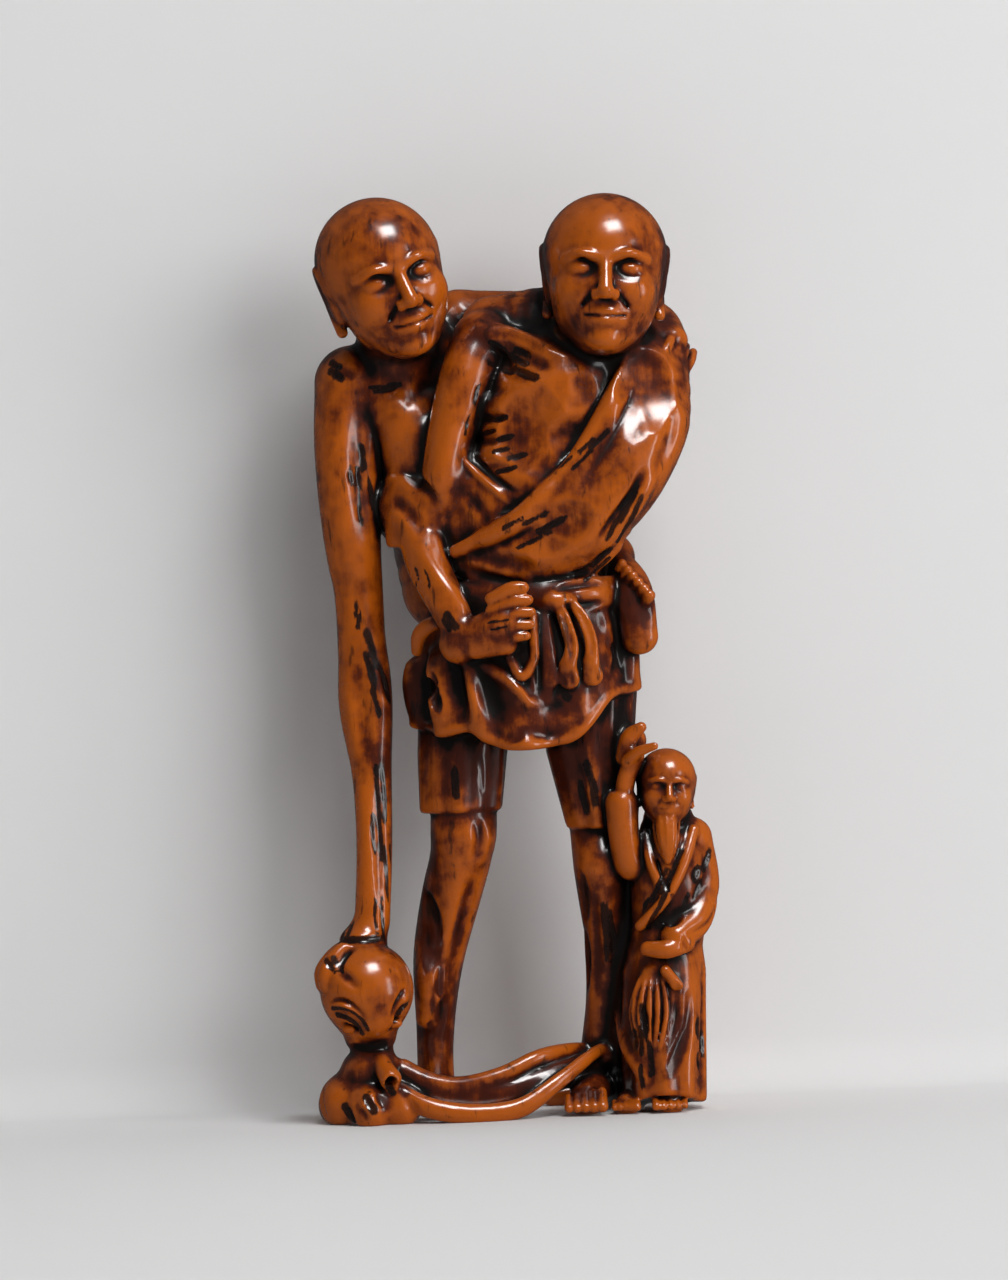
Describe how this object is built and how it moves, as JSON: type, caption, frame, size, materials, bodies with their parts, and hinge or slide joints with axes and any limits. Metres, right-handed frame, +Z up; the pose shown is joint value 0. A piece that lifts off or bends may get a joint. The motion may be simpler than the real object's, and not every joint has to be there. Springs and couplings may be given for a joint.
{
  "type": "netsuke",
  "caption": "Tall carved boxwood toggle: a long-legged fisherman carries a long-armed friend who grips an octopus, with a small bearded man beside them.",
  "frame": {"origin": "on the ground, under the middle of the carving's box", "axes": "+Z up, the figures face -Y, +X is the viewer's right"},
  "size_m": [0.0368, 0.0244, 0.0833],
  "materials": {
    "boxwood": "polished boxwood, stained dark in the recesses and worn to orange-brown on the high places"
  },
  "bodies": {
    "root": {"netsuke": "boxwood"}
  },
  "joints": []
}
